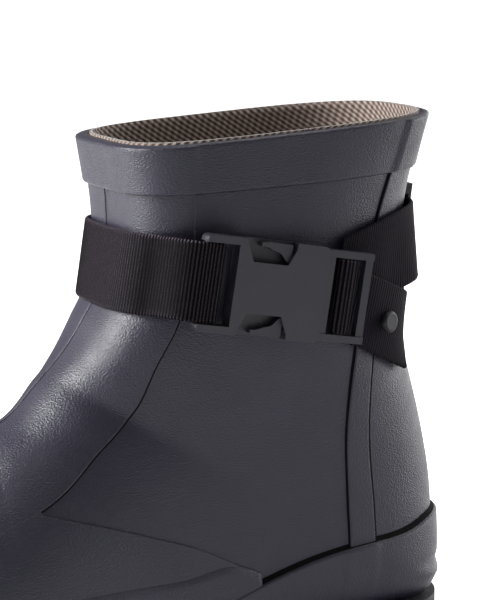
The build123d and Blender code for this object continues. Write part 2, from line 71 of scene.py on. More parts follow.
TUCK = -0.5                 # how far an overlay's hidden back is sunk into the rubber
RUBBER_INNER = -1.6
LINING_OUTER, LINING_INNER = -1.7, -3.0
OVERLAY_T = 0.95
STRIP_T = 1.4
CEMENT_AND_SHADE = 0.35               # width of the dark line along a rubber piece's edge: dark cement and painted shade
RIB_CEMENT_AND_SHADE = (1.4, 0.5)     # the same behind a back rib and in front of it
CEMENT_AND_SHADE_TO = 2.1             # station where the front pieces' edges stop being dark
CEMENT_AND_SHADE_RISE = (0.24, 0.27)  # height of the dark line of cement and painted shade, at its outer line and at the piece
EDGE_ROUND = 0.5            # radius of a rubber piece's edge
DARK_BELOW = 0.62           # share of a piece's thickness that its dark edge of cement and painted shade reaches
WALL_DARK_BELOW = 0.341     # the same on the walls round the foot
FRONT_SHOWS = 1.4           # how much more the front overlay shows through the band than a rib
RAND_T = 1.9
COUNTER_T = 2.35
BAND_T = 1.5                # collar band over the bare rubber; overlays under it add to this
WEBBING_T = 1.5
WEBBING_W = 28.0
RIB_PITCH = 1.25            # across the webbing's ribs
BAND_STATION = 2.735


def curve(points):
    """A natural cubic spline through the points, held at its end values outside them."""
    xs, ys = np.array(points, float).T
    step = np.diff(xs)
    slope = np.diff(ys) / step
    size = len(xs)
    system = np.eye(size)
    value = np.zeros(size)
    for i in range(1, size - 1):
        system[i, i - 1:i + 2] = step[i - 1], 2 * (step[i - 1] + step[i]), step[i]
        value[i] = 6 * (slope[i] - slope[i - 1])
    bend = np.linalg.solve(system, value)

    def at(x):
        x = np.clip(x, xs[0], xs[-1])
        i = np.clip(np.searchsorted(xs, x, side="right") - 1, 0, size - 2)
        d, h = x - xs[i], step[i]
        start = slope[i] - h * (2 * bend[i] + bend[i + 1]) / 6
        return ys[i] + d * start + d * d * bend[i] / 2 + d**3 * (bend[i + 1] - bend[i]) / (6 * h)

    return at


# ---------------------------------------------------------------- the boot's skin
# station -> near side, back, half width, middle, widest place and squareness of each section
near = curve([(0, 98), (.1, 90), (.3, 76), (.5, 67), (.7, 58.5), (.85, 51), (1, 42), (1.25, 36),
              (1.5, 33.5), (1.75, 36), (2, 43), (2.2, 50.3), (2.4, 52.7), (2.8, 51.6), (3, 49.8)])
back = curve([(1.4, 2), (1.5, 0), (1.62, -3), (1.74, -4), (1.85, 1), (1.95, 8), (2.2, 9.4),
              (2.4, 8.7), (2.6, 7.2), (2.8, 4.8), (3, 1.8)])
half = curve([(0, 0), (.1, 12.2), (.2, 22.7), (.3, 30.8), (.4, 36.8), (.5, 41), (.6, 44),
              (.75, 46.6), (.9, 47.2), (1, 46.8), (1.2, 42.5), (1.4, 37.5), (1.6, 36), (1.8, 36.8),
              (2, 38), (2.4, 38.8), (2.7, 39.5), (3, 40.7)])
middle = curve([(0, -9), (.3, -6), (.6, -2), (1, 1.5), (1.3, 3), (1.6, .5), (2, 0), (3, 0)])
wide_from_far = curve([(0, 8), (.1, 13), (.3, 18), (1, 20), (1.25, 30), (1.5, 58), (1.6, 78),
                       (1.75, 86), (2, 64), (2.5, 57), (3, 60)])
square_far = curve([(0, 2.3), (.3, 4), (1, 5), (1.3, 5), (1.5, 4), (1.62, 3.3), (1.75, 3), (2, 2.5),
                    (3, 2.95)])
square_near = curve([(0, 2.2), (.5, 2.2), (1, 2.2), (1.5, 2.5), (2, 3), (2.5, 3.5), (3, 3.9)])


def toe_spring(x):
    return TOE_SPRING * (np.maximum(x - GROUND_TO_TIP, 0) / (LAST_TIP - GROUND_TO_TIP)) ** 2


def heel_to_ball(x, heel, ball):
    """A height that eases from its heel value to its ball value along the arch."""
    along = np.clip((x - HEEL_END) / (ARCH_END - HEEL_END), 0, 1)
    return ball + (heel - ball) * (1 + np.cos(pi * along)) / 2


def seat_height(x):
    return heel_to_ball(x, HEEL_SEAT, BALL_SEAT) + toe_spring(x)


def sole_edge(x):
    """Height of the outsole wall's top edge."""
    return heel_to_ball(x, HEEL_WALL, BALL_WALL) + toe_spring(x)


def far(station):
    """Distance from the fan axis to the sole, the heel or the back of the shaft."""
    station = np.asarray(station, float)
    toe_x = FAN_X + (LAST_TIP - FAN_X) * np.cos(np.clip(station, 0, 1) * pi / 2)
    nose = 0.5 + 0.5 * np.cos(pi * np.minimum(station / 0.25, 1))
    toe = FAN_Z - seat_height(toe_x) - TOE_TIP_RISE * nose
    turn = (np.clip(station, 1, 2) - 1) * pi / 2
    reach = np.full(station.shape, FAN_Z - BALL_SEAT)
    for _ in range(6):
        under = seat_height(FAN_X - reach * np.sin(turn))
        reach = np.minimum((FAN_Z - under) / np.maximum(np.cos(turn), 1e-6), 400)
    behind = (FAN_X - back(station)) / np.maximum(np.sin(turn), 1e-6)
    heel = (reach**-HEEL_EDGE + behind**-HEEL_EDGE) ** (-1 / HEEL_EDGE)
    return np.where(station <= 1, toe, np.where(station >= 2, FAN_X - back(station), heel))


def skin(station, angle, offset):
    """Points of the skin: angle 0 is the outer side, 90 degrees the near side, 270 the far side."""
    station, angle, offset = np.broadcast_arrays(*(np.asarray(v, float) for v in (station, angle, offset)))
    quarter = station * pi / 2
    rise = (station - 2) * COLLAR_TILT
    size = np.hypot(1, rise)
    toe, shaft = station < 1, station >= 2
    reach = LAST_TIP + offset - FAN_X
    start_x = np.where(toe, FAN_X + reach * np.cos(quarter), FAN_X)
    start_z = np.where(shaft, FAN_Z + (station - 2) * (COLLAR_Z - FAN_Z), FAN_Z)
    way_x = np.where(toe, 0, np.where(shaft, -1 / size, -np.sin(quarter - pi / 2)))
    way_z = np.where(toe, -1, np.where(shaft, rise / size, -np.cos(quarter - pi / 2)))
    grow = offset * np.sin(np.minimum(station, .3) / .3 * pi / 2)
    c, s = np.cos(angle), np.sin(angle)
    power = np.where(s >= 0, square_near(station), square_far(station))
    round_off = (np.abs(c) ** power + np.abs(s) ** power) ** (-1 / power)
    widest = far(station) - wide_from_far(station)
    depth = np.where(s >= 0, widest - near(station), wide_from_far(station)) + grow
    along = widest - depth * s * round_off
    side = middle(station) + (half(station) + grow) * c * round_off
    return np.stack([start_x + way_x * along, side, start_z + way_z * along], -1)


def station_of(x, z, offset=0.0):
    over = x - FAN_X
    toe = 1 - np.arcsin(np.clip(over / (LAST_TIP + offset - FAN_X), 0, 1)) * 2 / pi
    fan = 1 + np.arctan2(np.maximum(-over, 0), np.maximum(FAN_Z - z, 1e-9)) * 2 / pi
    shaft = 2 + (z - FAN_Z) / (COLLAR_Z - FAN_Z - over * COLLAR_TILT)
    return np.where(over > 0, toe, np.where(z < FAN_Z, fan, shaft))


def locate(x, z, offset=0.0):
    """Station and angle, on the outer side, of the skin's point seen from the side at (x, z)."""
    x, z = np.broadcast_arrays(np.asarray(x, float), np.asarray(z, float))
    station = station_of(x, z, offset)
    level = np.hypot(1, (station - 2) * COLLAR_TILT) * (FAN_X - x)
    away = np.hypot(FAN_X - x, FAN_Z - z)
    along = np.where(x > FAN_X, FAN_Z - z, np.where(z < FAN_Z, away, level))
    grow = offset * np.sin(np.minimum(station, .3) / .3 * pi / 2)
    widest = far(station) - wide_from_far(station)
    ahead = along < widest
    depth = np.where(ahead, widest - near(station), wide_from_far(station)) + grow
    power = np.where(ahead, square_near(station), square_far(station))
    share = np.clip((widest - along) / depth, -1, 1)
    rest = (1 - np.abs(share) ** power) ** (1 / power)
    return station, np.arctan2(share, rest)


def half_width(x, z, offset):
    """The skin's half width at (x, z), zero outside its outline, and its middle."""
    station, angle = locate(x, z, offset)
    wide = skin(station, angle, offset)[..., 1] - middle(station)
    return np.where(np.abs(angle) >= pi / 2 - 1e-9, 0, wide), middle(station)


# ---------------------------------------------------------------- edges of the rubber pieces, (x, z)
FRONT_EDGE = curve([(210, 101.5), (173, 101.9), (155, 102.5), (130.6, 108.1), (116.7, 115.2),
                    (107.1, 119.1), (99.3, 123.5), (87.2, 137.1), (75.1, 152), (65, 175),
                    (55.5, 205), (46.5, 235), (41.5, 264)][::-1])
COUNTER_EDGE = curve([(-20, 56), (4, 52.1), (14.2, 49.4), (31.2, 47.7), (43.7, 46.3), (61.6, 42.4),
                      (76.1, 38), (87, 34.5), (105, 29), (125, 23.5), (142, 18.6)])
VAMP_EDGE = curve([(75.9, 38.3), (86.6, 43.9), (101.4, 51.6), (117.2, 57.3), (129.8, 61.5), (160, 70.2)])
RAND_EDGE = curve([(75.9, 39), (88.6, 44.2), (104.7, 42.6), (123.7, 41.8), (160, 41.5), (275, 40.5)])
RIB_FRONT = curve([(42, 42.2), (47.2, 42.5), (70, 43.6), (88, 44.1), (115.6, 40.6), (164.2, 31.6),
                   (182.2, 26.2), (205, 20)])
RIB_BACK = curve([(42, 30.1), (48.4, 30.5), (61.8, 31.4), (87, 33.3), (111.3, 31.3), (165.3, 20.8),
                  (182.2, 15.5), (205, 9.5)])


def edge_angles(stations, x, z):
    """Angles, on the outer side, where sections at the stations meet an edge drawn from the side."""
    at, angle = locate(x, z)
    order = np.argsort(at)
    return np.interp(stations, at[order], angle[order])


def ease(value, start, end):
    t = np.clip((value - start) / (end - start), 0, 1)
    return t * t * (3 - 2 * t)


def under_band(points, width=1.0):
    """Step that shows through rubber laid over the shaft, as a share of the step at a rib."""
    x, z = points[..., 0], points[..., 2]
    front = FRONT_SHOWS * ease(x - FRONT_EDGE(z), -width / 2, width / 2)
    rib = ease(x - RIB_BACK(z), -width / 2, width / 2) * ease(RIB_FRONT(z) - x, -width / 2, width / 2)
    return np.maximum(front, rib)


def hand_laid(points, depth=0.14):
    """The slow unevenness of hand-laid rubber."""
    x, y, z = np.moveaxis(points, -1, 0)
    slow = np.sin(x / 9.7 + z / 17.3 + 1.1) * np.sin(z / 12.9 - y / 15.1 + .4)
    fine = np.sin(x / 5.3 - z / 7.9 + y / 6.1) * np.sin(z / 6.7 + y / 8.3 + 2)
    return depth * (slow + .35 * fine)


# ---------------------------------------------------------------- meshes
MATERIALS = {}


def new_object(name, points, faces, kinds, materials, uvs=None):
    """A smooth mesh object, from points in the last's frame."""
    mesh = bpy.data.meshes.new(name)
    mesh.from_pydata(((points - ORIGIN) * MM).tolist(), [], faces)
    mesh.update()
    for material in materials:
        mesh.materials.append(MATERIALS[material])
    mesh.polygons.foreach_set("material_index", kinds)
    mesh.polygons.foreach_set("use_smooth", [True] * len(faces))
    if uvs is not None:
        layer = mesh.uv_layers.new(name="lay")
        corners = np.empty(len(mesh.loops), int)
        mesh.loops.foreach_get("vertex_index", corners)
        layer.data.foreach_set("uv", uvs[corners].ravel())
    piece = bpy.data.objects.new(name, mesh)
    bpy.context.scene.collection.objects.link(piece)
    return piece


def slab(name, outer, inner, materials, wrap=False, pole=False, kinds=None, uv=None):
    """A closed solid between two grids of points of the same size.

    wrap joins the last column to the first; pole closes the first row to a point; kinds gives the
    outer faces' materials.
    """
    rows, columns = outer.shape[:2]
    across = columns if wrap else columns - 1
    points = np.concatenate([outer.reshape(-1, 3), inner.reshape(-1, 3)])
    shift = rows * columns
    faces, index = [], []
    for r in range(rows - 1):
        for c in range(across):
            d = (c + 1) % columns
            face = (r * columns + c, r * columns + d, (r + 1) * columns + d, (r + 1) * columns + c)
            faces.append(face)
            faces.append(tuple(shift + k for k in reversed(face)))
            index += [int(kinds[r, c]) if kinds is not None else 0, 0]
    for r in ([rows - 1] if pole else [0, rows - 1]):
        for c in range(across):
            d = (c + 1) % columns
            rim = (r * columns + c, r * columns + d, shift + r * columns + d, shift + r * columns + c)
            faces.append(rim if r else rim[::-1])
            index.append(0)
    if not wrap:
        for c in (0, columns - 1):
            for r in range(rows - 1):
                side = (r * columns + c, (r + 1) * columns + c,
                        shift + (r + 1) * columns + c, shift + r * columns + c)
                faces.append(side[::-1] if c else side)
                index.append(0)
    if pole:
        tips = [outer[0].mean(0), inner[0].mean(0)]
        points = np.concatenate([points, tips])
        for c in range(across):
            d = (c + 1) % columns
            faces.append((2 * shift, d, c))
            faces.append((2 * shift + 1, shift + c, shift + d))
            index += [0, 0]
    uvs = None
    if uv is not None:
        uvs = np.concatenate([uv.reshape(-1, 2)] * 2 + [np.zeros((2 * pole, 2))])
    piece = new_object(name, points, faces, index, materials, uvs)
    fix_normals(piece)
    return piece


def fix_normals(piece):
    """Turns every face outward."""
    work = bmesh.new()
    work.from_mesh(piece.data)
    bmesh.ops.recalc_face_normals(work, faces=work.faces)
    work.to_mesh(piece.data)
    work.free()


def spaced(start, end, step):
    return np.linspace(start, end, max(2, round(abs(end - start) / step) + 1))


def border(thickness, cement_and_shade):
    """Edge of a rubber piece: distance in, and height over the skin, from a dark line of cement and painted
    shade up.
    """
    turns = np.linspace(0, pi / 2, 5)
    arc = [(cement_and_shade + EDGE_ROUND * (1 - cos(t)), thickness - EDGE_ROUND * (1 - sin(t))) for t in turns]
    line = [(0, CEMENT_AND_SHADE_RISE[0]), (cement_and_shade, CEMENT_AND_SHADE_RISE[1])]
    return np.array([(0, TUCK + .1)] + line + arc)


def along_sections(stations, first, last, step, thickness, cement_and_shade=(CEMENT_AND_SHADE, CEMENT_AND_SHADE)):
    """Station, angle and height grids of a piece that runs between two angles of each section.

    Columns are evenly spaced between its two rising edges, each with its own width of dark cement and painted
    shade.
    """
    rises = [border(thickness, width) for width in cement_and_shade]
    dense = np.linspace(0, 1, 160)
    tracks = []
    for s, a, b in zip(stations, first, last):
        angles = a + (b - a) * dense
        points = skin(s, angles, thickness)
        travel = np.concatenate([[0], np.cumsum(np.linalg.norm(np.diff(points, axis=0), axis=1))])
        tracks.append((travel, angles))
    longest = max(travel[-1] for travel, _ in tracks)
    inner = np.linspace(0, 1, max(6, int(longest / step)) + 1)
    angles = []
    for travel, turns in tracks:
        size = travel[-1]
        lead, trail = (rise[:, 0] * min(1, size / 3 / rise[-1, 0]) for rise in rises)
        middle_part = lead[-1] + (size - trail[-1] - lead[-1]) * inner
        places = np.concatenate([lead[:-1], middle_part, size - trail[-2::-1]])
        angles.append(np.interp(places, travel, turns))
    row = np.concatenate([rises[0][:-1, 1], np.full(len(inner), thickness), rises[1][-2::-1, 1]])
    angles = np.array(angles)
    return np.broadcast_to(np.asarray(stations)[:, None], angles.shape), angles, row + 0 * angles


def edge_kinds(heights, dark_height):
    """Material 1 on the faces of a piece that start under a height, 0 on the others."""
    low = np.minimum(heights[:-1, :-1], heights[1:, 1:])
    low = np.minimum(low, np.minimum(heights[1:, :-1], heights[:-1, 1:]))
    return (low < dark_height).astype(int)


def lay_on_skin(name, grids, thickness, cement_and_shade_to=3.0):
    """A rubber piece over the skin, with dark cement and painted shade along its edges up to a station."""
    stations, angles, heights = grids
    base = skin(stations, angles, heights)
    wave = hand_laid(base) * np.clip(heights / thickness, 0, 1)
    outer = skin(stations, angles, heights + wave)
    inner = skin(stations, angles, TUCK)
    # faces low on the edge take the dark edge rubber: dark cement, and painted shade over the rounded edge
    kinds = edge_kinds(heights, thickness * DARK_BELOW) * (stations[:-1, :-1] < cement_and_shade_to)
    return slab(name, outer, inner, ("rubber", "rubber_edge_cement_and_shade"), kinds=kinds)


def finish_piece(piece, body, slot, *nodes):
    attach(piece, body)
    if nodes:
        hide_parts(*nodes)
    return piece


# ---------------------------------------------------------------- rubber upper
def shell_stations(step=1.0):
    """Stations from the toe tip to the collar, closer round the long heel turn."""
    parts = (spaced(.02, 1, .013 * step), spaced(1, 2, .009 * step), spaced(2, 3, .017 * step))
    return np.concatenate([parts[0], parts[1][1:], parts[2][1:]])


def make_upper():
    """The one-piece rubber shell, from the toe tip to the collar."""
    stations = shell_stations()[:, None]
    angles = np.linspace(0, 2 * pi, 220, endpoint=False)[None, :]
    base = skin(stations, angles, 0)
    outer = skin(stations, angles, hand_laid(base))
    inner = skin(stations, angles, RUBBER_INNER)
    piece = slab("upper_rubber_shell", outer, inner, ("rubber",), wrap=True, pole=True)
    return finish_piece(piece, "boot", "upper_rubber", "outer_upper")


def make_lining():
    """Knit lining bonded inside the shell, with its cut rim at the collar."""
    stations = shell_stations(1.6)
    angles = np.linspace(0, 2 * pi, 160, endpoint=False)
    rise = np.zeros_like(stations)
    rise[-1] = .012
    outer = skin((stations + rise)[:, None], angles[None, :], LINING_OUTER)
    inner = skin((stations + rise)[:, None], angles[None, :], LINING_INNER)
    round_way = np.linalg.norm(np.diff(inner, axis=1, append=inner[:, :1]), axis=2).cumsum(1)
    up_way = np.linalg.norm(np.diff(inner, axis=0, append=inner[-1:]), axis=2)[::-1].cumsum(0)[::-1]
    uv = np.stack([round_way, up_way], -1) / 10
    piece = slab("knit_lining", outer, inner, ("knit", "knit_rim"), wrap=True, pole=True, uv=uv)
    rows, columns = outer.shape[:2]
    side, top_row = rows * columns, (rows - 1) * columns
    for face in piece.data.polygons:
        if all(v < 2 * side and v % side >= top_row for v in face.vertices):
            face.material_index = 1
    return finish_piece(piece, "boot", "lining_mesh", "textile_lining")


def make_collar_band():
    """Folded band round the collar; the overlays under it show through as soft steps."""
    profile = [(0, TUCK + .1), (0, .2), (.003, .9), (.007, 1.4), (.013, BAND_T)]
    body = [(s, BAND_T) for s in spaced(.022, .25, .014)]
    rim = [(.258, BAND_T - .1), (.264, BAND_T - .45), (.267, BAND_T - 1.0), (.268, 0), (.267, -1)]
    rows = np.array(profile + body + rim)
    stations = BAND_STATION + rows[:, :1]
    angles = np.linspace(0, 2 * pi, 300, endpoint=False)[None, :]
    base = skin(stations, angles, 0)
    share = np.clip(rows[:, 1:] / BAND_T, 0, 1)
    height = rows[:, 1:] + share * (1.0 * under_band(base) + hand_laid(base) * .8)
    outer = skin(stations, angles, height)
    inner = skin(np.minimum(stations, 2.985), angles, TUCK + 0 * height)
    kinds = np.zeros(outer.shape[:2], int)
    # the band's two lowest rows take the dark edge rubber: dark cement and painted shade at the foot of its
    # step
    kinds[:2] = 1
    piece = slab("collar_band_rubber", outer, inner, ("rubber", "rubber_edge_cement_and_shade"), wrap=True, kinds=kinds)
    return finish_piece(piece, "boot", "upper_rubber", "collar_band")


def front_stations():
    """Stations from under the collar band down the front to near the toe tip."""
    return np.concatenate([spaced(2.76, 2, .016), spaced(2, 1, .014)[1:], spaced(1, .2, .013)[1:]])


def make_front_overlay():
    """Rubber over the front of the shaft, the instep and the top of the forefoot."""
    stations = front_stations()
    z = np.linspace(41.5, 210, 800)
    first = edge_angles(stations, FRONT_EDGE(z), z)
    grids = along_sections(stations, first, pi - first, 1.3, OVERLAY_T)
    piece = lay_on_skin("front_overlay_rubber", grids, OVERLAY_T, CEMENT_AND_SHADE_TO)
    return finish_piece(piece, "boot", "upper_rubber", "front_overlay")


STRIP_FROM_OUTER = curve([(0, -8), (.3, -5), (.6, -4), (1.2, -3.6), (1.6, -3), (2, -2.2), (3, -1.6)])
STRIP_TO_INNER = curve([(0, -10), (.3, -20), (.6, -27), (1.2, -29), (2, -30), (3, -30)])


def make_centre_strip():
    """Strip down the middle of the front overlay."""
    stations = front_stations()
    turns = []
    for line in (STRIP_FROM_OUTER, STRIP_TO_INNER):
        share = (line(stations) - middle(stations)) / half(stations)
        power = square_near(stations)
        turns.append(np.arctan2((1 - np.abs(share) ** power) ** (1 / power), share))
    grids = along_sections(stations, turns[0], turns[1], 1.2, STRIP_T)
    piece = lay_on_skin("front_centre_strip_rubber", grids, STRIP_T, CEMENT_AND_SHADE_TO)
    return finish_piece(piece, "boot", "upper_rubber", "front_centre_strip")


def make_back_rib(side):
    """Narrow raised rib down the back quarter of the lateral or the medial side."""
    stations = spaced(2.76, 1.6, .012)
    z = np.linspace(42, 205, 500)
    front = edge_angles(stations, RIB_FRONT(z), z)
    rear = edge_angles(stations, RIB_BACK(z), z)
    if side == "lateral":
        ends, cement_and_shade = (rear, front), RIB_CEMENT_AND_SHADE
    else:
        ends, cement_and_shade = (pi - front, pi - rear), RIB_CEMENT_AND_SHADE[::-1]
    grids = along_sections(stations, *ends, .9, OVERLAY_T, cement_and_shade)
    piece = lay_on_skin(f"back_rib_{side}_rubber", grids, OVERLAY_T)
    return finish_piece(piece, "boot", "upper_rubber", f"back_rib_{side}")


def make_vamp_overlay():
    """Over each side of the forefoot, between the front overlay and the rand, with a rising rear edge."""
    stations = spaced(1.505, .3, .012)
    x = np.linspace(76, 160, 300)
    z = np.linspace(41.5, 210, 800)
    low_x = np.linspace(70, 262, 500)
    rising = np.where(stations > 1.13, edge_angles(stations, x, VAMP_EDGE(x)), 9)
    upper = np.minimum(rising, edge_angles(stations, FRONT_EDGE(z), z) + radians(2))
    lower_z = np.minimum(RAND_EDGE(low_x) - 3, COUNTER_EDGE(low_x) - 2)
    lower_z = np.where(low_x > 110, RAND_EDGE(low_x) - 3, lower_z)
    lower = np.minimum(edge_angles(stations, low_x, lower_z), upper - radians(.5))
    sides = []
    for first, last in ((lower, upper), (pi - upper, pi - lower)):
        grids = along_sections(stations, first, last, 1.3, OVERLAY_T)
        sides.append(lay_on_skin("vamp_overlay_rubber", grids, OVERLAY_T, cement_and_shade_to=0))
    piece = joined("vamp_overlay_rubber", sides)
    return finish_piece(piece, "boot", "upper_rubber", "vamp_overlay")


def joined(name, pieces):
    """One object from several."""
    bpy.ops.object.select_all(action="DESELECT")
    for piece in pieces:
        piece.select_set(True)
    bpy.context.view_layer.objects.active = pieces[0]
    bpy.ops.object.join()
    pieces[0].name = name
    return pieces[0]


# ---------------------------------------------------------------- rubber round the foot
HEEL_CENTRE, TOE_CENTRE = 46.0, 198.0
COUNTER_TIP, RAND_TIP = 141.0, 78.0     # x of the counter's front end and of the rand's rear end
LONGEST_RAY, HALVINGS = 75.0, 26        # how far a ray can reach, and the steps that find where it leaves


def rays(start, centre, toward, step=1.3):
    """Level rays that leave the foot's middle line: straight out along it and fanned at its end."""
    along = spaced(start, centre, step)
    turns = spaced(0, pi, .032)[1:-1]
    at = np.concatenate([along, np.full(len(turns), centre), along[::-1]])
    way_x = np.concatenate([0 * along, toward * np.sin(turns), 0 * along])
    way_y = np.concatenate([1 + 0 * along, np.cos(turns), -1 + 0 * along])
    return at, way_x, way_y


def cast(ray, z, offset):
    """Where level rays at heights z leave the skin grown by an offset."""
    at, way_x, way_y = ray
    low, high = np.zeros(np.shape(z)), np.full(np.shape(z), LONGEST_RAY)
    start_y = middle(station_of(at, 30.0))
    for _ in range(HALVINGS):
        reach = (low + high) / 2
        x, y = at + reach * way_x, start_y + reach * way_y
        wide, centre = half_width(x, z, offset)
        inside = np.abs(y - centre) < wide
        low, high = np.where(inside, reach, low), np.where(inside, high, reach)
    return np.stack([at + low * way_x, start_y + low * way_y, z + 0 * low], -1)


def make_wall(name, ray, top, bottom, profile, thickness, shape=None, with_cement_and_shade=True):
    """Rubber that stands round the foot between two heights given by x, with a shaped top edge."""
    x = ray[0] + 40 * ray[1]
    for _ in range(3):
        x = cast(ray, top(x), thickness)[..., 0]
    high, low = top(x), bottom(x)
    profile = np.array(profile)
    rows = np.linspace(0, 1, 1 + int((high - low).max() / 1.3))[1:]
    edge = np.minimum(profile[:, :1] * np.ones_like(high), (high - low) * .45)
    body = edge[-1] + rows[:, None] * (high - low - edge[-1])
    z = high - np.concatenate([edge, body])
    height = np.concatenate([profile[:, 1], np.full(len(rows), thickness)])[:, None] + 0 * z
    base = cast(ray, z, height)
    share = np.clip(height / thickness, 0, 1)
    wave = hand_laid(base) * share
    if shape is not None:
        wave = wave + shape(base) * share
    outer = cast(ray, z, height + wave)
    inner = cast(ray, z, TUCK + 0 * z)
    # faces low on the top edge take the dark edge rubber: dark cement, and painted shade in the step's gap
    kinds = edge_kinds(height, thickness * WALL_DARK_BELOW) * with_cement_and_shade
    return slab(name, outer, inner, ("rubber", "rubber_edge_cement_and_shade"), kinds=kinds)


def make_heel_counter():
    """Thick foxing round the heel, with a cut top edge; the ribs show through it."""
    profile = [(0, TUCK), (0, .15), (1.1, .55), (1.5, 1.3), (1.75, 1.9), (2.1, 2.25), (2.6, COUNTER_T)]

    def shape(points):
        """The back ribs under the rubber, and the kick-off ridge behind the heel."""
        x, z = points[..., 0], points[..., 2]
        rib = ease(x, 29, 32) * ease(45.5, x, x + 3)
        fade = 1 - .5 * ease(50 - z, 0, 30)
        ridge = np.exp(-((z - 28.5) / 2.2) ** 2) - .8 * np.exp(-((z - 33.5) / 1.8) ** 2)
        rear = ease(14 - x, 0, 12)
        return .4 * rib * fade + .75 * ridge * rear

    ray = rays(COUNTER_TIP, HEEL_CENTRE, -1)

    def bottom(x):
        return np.minimum(sole_edge(x), COUNTER_EDGE(x) + .5) - 3.5

    piece = make_wall("heel_counter_rubber", ray, COUNTER_EDGE, bottom, profile, COUNTER_T, shape)
    return finish_piece(piece, "boot", "upper_rubber", "heel_counter")


def make_toe_rand():
    """Rand round the forefoot and toe, with a soft feathered top edge."""
    profile = [(0, TUCK), (0, .85), (.6, 1.15), (1.6, 1.6), (2.8, RAND_T)]
    ray = rays(RAND_TIP, TOE_CENTRE, 1)

    def bottom(x):
        return np.where(x < 112, np.minimum(COUNTER_EDGE(x) - 2.5, 33), sole_edge(x) - 3.5)

    piece = make_wall("toe_rand_rubber", ray, RAND_EDGE, bottom, profile, RAND_T, with_cement_and_shade=False)
    return finish_piece(piece, "boot", "upper_rubber", "toe_rand")


# ---------------------------------------------------------------- buckle frame
BUCKLE_AT = np.array((81.0, 47.3, 144.0))
BUCKLE_DROP, BUCKLE_YAW = radians(8.9), radians(2.0)
U_AXIS = np.array((-cos(BUCKLE_DROP) * cos(BUCKLE_YAW), sin(BUCKLE_YAW), -sin(BUCKLE_DROP) * cos(BUCKLE_YAW)))
W_AXIS = np.array((sin(BUCKLE_YAW), cos(BUCKLE_YAW), 0.0))
V_AXIS = np.cross(W_AXIS, U_AXIS)


def at_buckle(u, v, w):
    """A point of the buckle: u along it to the rear, v up, w out from its face."""
    return BUCKLE_AT + u * U_AXIS + v * V_AXIS + w * W_AXIS


# ---------------------------------------------------------------- webbing
def smooth_line(points, step):
    """Even points along a smooth line through the given ones."""
    points = np.array(points, float)
    travel = np.concatenate([[0], np.cumsum(np.linalg.norm(np.diff(points, axis=0), axis=1))])
    curves = [curve(list(zip(travel, points[:, k]))) for k in range(points.shape[1])]
    fine = np.linspace(0, travel[-1], 2000)
    dense = np.stack([c(fine) for c in curves], -1)
    steps = np.linalg.norm(np.diff((dense[:, :3] + dense[:, -3:]) / 2, axis=0), axis=1)
    length = np.concatenate([[0], np.cumsum(steps)])
    even = np.linspace(0, length[-1], max(8, int(length[-1] / step)))
    return np.stack([np.interp(even, length, dense[:, k]) for k in range(dense.shape[1])], -1), even


def ribbon(name, top, bottom, ribs, material, fray=0.0):
    """Woven webbing between two edge lines: ribs of a height across it, rounded edges, a frayed lower one."""
    line, travel = smooth_line(np.concatenate([top, bottom], 1), RIB_PITCH / 8)
    upper, lower = line[:, :3], line[:, 3:]
    width = np.linalg.norm(upper - lower, axis=1).mean()
    edge = np.array([0, .05, .2, .5, .9])
    rows = np.concatenate([edge, np.linspace(1.6, width - 1.6, 16), width - edge[::-1]]) / width
    across = (lower - upper)[None]
    centre = upper[None] + rows[:, None, None] * across
    along = np.gradient((upper + lower) / 2, axis=0)
    normal = np.cross(along[None], across)
    normal /= np.linalg.norm(normal, axis=2, keepdims=True)
    from_edge = np.minimum(rows, 1 - rows)[:, None, None] * width
    round_edge = np.sqrt(np.clip(1 - (1 - np.minimum(from_edge / .9, 1)) ** 2, .02, 1))
    wave = (2 * np.abs(np.cos(pi * travel / RIB_PITCH)) - 1)[None, :, None]
    rib = ribs * wave * ease(from_edge, .5, 1.8)
    selvage = .12 * np.exp(-((from_edge - 1.0) / .5) ** 2) * (ribs > .03)
    if fray:
        pull = (fray * np.sin(travel * 2.1) * np.sin(travel * .9 + 1))[None, :, None]
        lower_half = rows[:, None, None] > .5
        centre = centre + lower_half * pull * V_AXIS * ease(3 - from_edge, 0, 3)
    outer = centre + normal * (WEBBING_T / 2 * round_edge + rib + selvage)
    inner = centre - normal * (WEBBING_T / 2 * round_edge + rib * .5)
    uv = np.stack(np.broadcast_arrays(travel[None, :], (rows * width)[:, None]), -1) / 10
    return slab(name, outer, inner, (material,), uv=uv)


def at_height(angle, height, offset):
    """The shaft's point at an angle whose height is given by x."""
    station = np.full(np.shape(angle), 2.3)
    for _ in range(10):
        point = skin(station, angle, offset)
        x = point[..., 0]
        station = 2 + (height(x) - FAN_Z) / (COLLAR_Z - FAN_Z + (FAN_X - x) * COLLAR_TILT)
    return skin(station, angle, offset)


INNER_TOP = curve([(-20, 168), (20, 165), (60, 162), (100, 162), (140, 164.5)])
INNER_BOTTOM = curve([(-20, 139.5), (20, 137), (60, 134), (100, 134), (140, 136)])
REAR_TOP = curve([(-20, 170), (10, 168), (31.8, 163.9), (50, 158.2), (62, 155)])
REAR_BOTTOM = curve([(-20, 141.5), (10, 139.5), (28, 135), (43, 129.5), (62, 126)])
WEBBING_LIFT = 2.45         # middle of the webbing over the skin
STANDS_OFF = 4.2            # the rear strap's lower edge off the leg, beside the keeper
TAB_OVERHANG = (5.5, 0.5)   # the anchor tab's free end past its last points, above and below
HOUSING_BAR_U, HOUSING_BAR_W = (-22, -17), (-5.2, -2.4)
PLUG_BAR_U, PLUG_BAR_W = (29.6, 33.8), (-4.7, -2.3)


